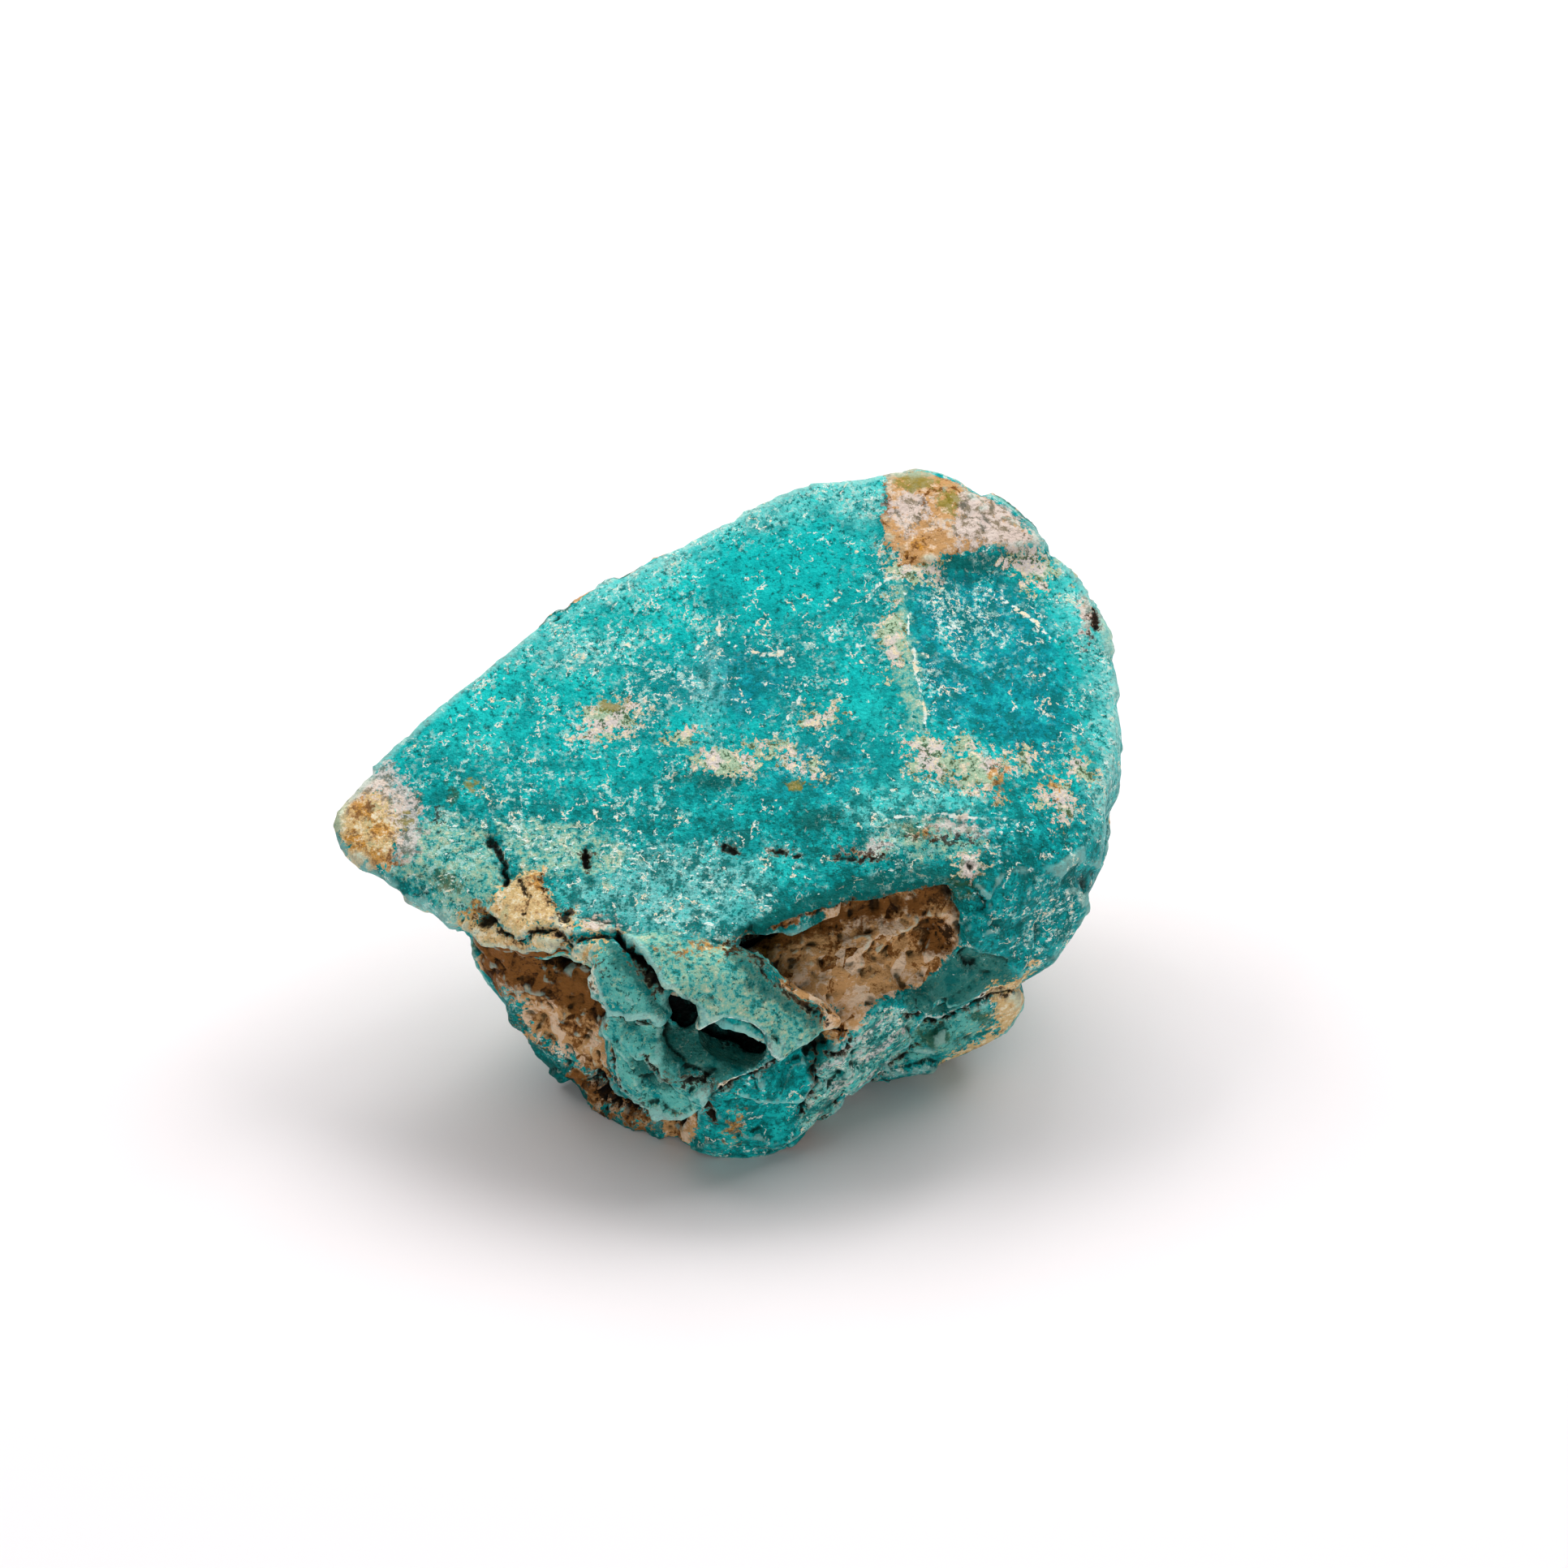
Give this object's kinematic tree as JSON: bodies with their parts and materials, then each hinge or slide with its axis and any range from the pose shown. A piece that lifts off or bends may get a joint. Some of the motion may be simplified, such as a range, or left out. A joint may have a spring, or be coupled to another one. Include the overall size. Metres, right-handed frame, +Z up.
{
  "type": "raw amazonite",
  "caption": "Rough blue-green feldspar stone, a slanting slab on a narrower foot, with brown quartz and beige ledges grown in.",
  "frame": {"origin": "middle of the bounding box, on the flat of the foot that the stone rests on", "axes": "+X to the stone's right along its longest side, +Y to its back, +Z up through its shortest side"},
  "size_m": [0.0504, 0.0366, 0.0322],
  "materials": {
    "feldspar": "rough broken stone, satin cleavage faces"
  },
  "bodies": {
    "root": {"amazonite": "feldspar"}
  },
  "joints": []
}
